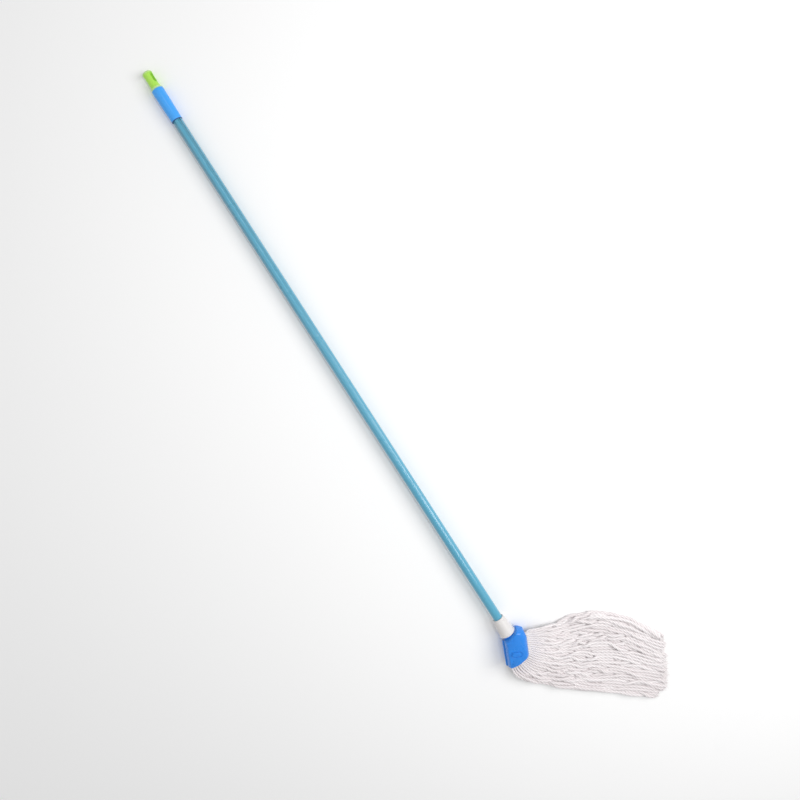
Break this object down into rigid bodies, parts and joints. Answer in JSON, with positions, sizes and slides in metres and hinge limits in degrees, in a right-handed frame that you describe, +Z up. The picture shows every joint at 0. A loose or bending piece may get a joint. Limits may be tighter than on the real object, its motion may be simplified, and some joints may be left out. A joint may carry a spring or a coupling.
{
  "type": "string mop",
  "caption": "String mop: tube handle with a grip and a hanging cap, lock nut, hinged clip head with a press button, and a clipped refill of twisted cotton yarn.",
  "frame": {"origin": "on the clip's back face, under the handle's line and 30 mm past the lock nut, on the floor the mop lies on", "axes": "+X along the handle from the hanging cap to the head, +Y to the side the yarn sweeps to, +Z up from the floor, out of the clip's front"},
  "size_m": [1.5989, 0.3109, 0.0434],
  "materials": {
    "tube_paint": "smooth teal blue paint on thin steel tube, satin gloss",
    "grip_plastic": "soft sky blue moulded sleeve",
    "lime_plastic": "lime green moulded plastic",
    "white_plastic": "off-white moulded plastic",
    "blue_plastic": "bright blue moulded plastic with a satin gloss",
    "steel": "plain wire steel",
    "cotton_tape": "woven cotton tape, stitched",
    "cotton_yarn": "off-white twisted cotton yarn"
  },
  "bodies": {
    "clip_base": {"clip_back": "blue_plastic", "hinge_pin": "steel", "collet_ring": "white_plastic", "yarn_band": "cotton_tape", "yarn_bundle_1": "cotton_yarn", "yarn_bundle_2": "cotton_yarn", "yarn_bundle_3": "cotton_yarn", "yarn_bundle_4": "cotton_yarn", "yarn_bundle_5": "cotton_yarn", "yarn_bundle_6": "cotton_yarn", "yarn_bundle_7": "cotton_yarn", "yarn_bundle_8": "cotton_yarn", "yarn_bundle_9": "cotton_yarn", "yarn_bundle_10": "cotton_yarn"},
    "handle": {"handle_tube": "tube_paint", "tube_end_plug": "white_plastic", "grip_sleeve": "grip_plastic", "hanger_cap": "lime_plastic"},
    "lock_nut": {"lock_nut": "white_plastic"},
    "clip_jaw": {"clip_front": "blue_plastic", "button_spring": "steel"},
    "button": {"release_button": "blue_plastic"}
  },
  "joints": [
    {"name": "handle_out", "type": "slide", "parent": "clip_base", "child": "handle", "axis": [-1, 0, -0.0076], "range_m": [0, 0.036]},
    {"name": "nut_turn", "type": "hinge", "parent": "clip_base", "child": "lock_nut", "pos_m": [-0.03, 0, 0.021], "axis": [1, 0, 0.0076], "range_deg": [0, 300]},
    {"name": "jaw_open", "type": "hinge", "parent": "clip_base", "child": "clip_jaw", "pos_m": [-0.03386, -0.00955, 0.021], "axis": [0.9272, -0.3746, 0], "range_deg": [0, 65]},
    {"name": "button_press", "type": "slide", "parent": "clip_jaw", "child": "button", "axis": [0, 0, -1], "range_m": [0, 0.0025], "stiffness_N_per_m": 600, "springref_m": -0.001, "deforming": ["button_spring"]}
  ]
}
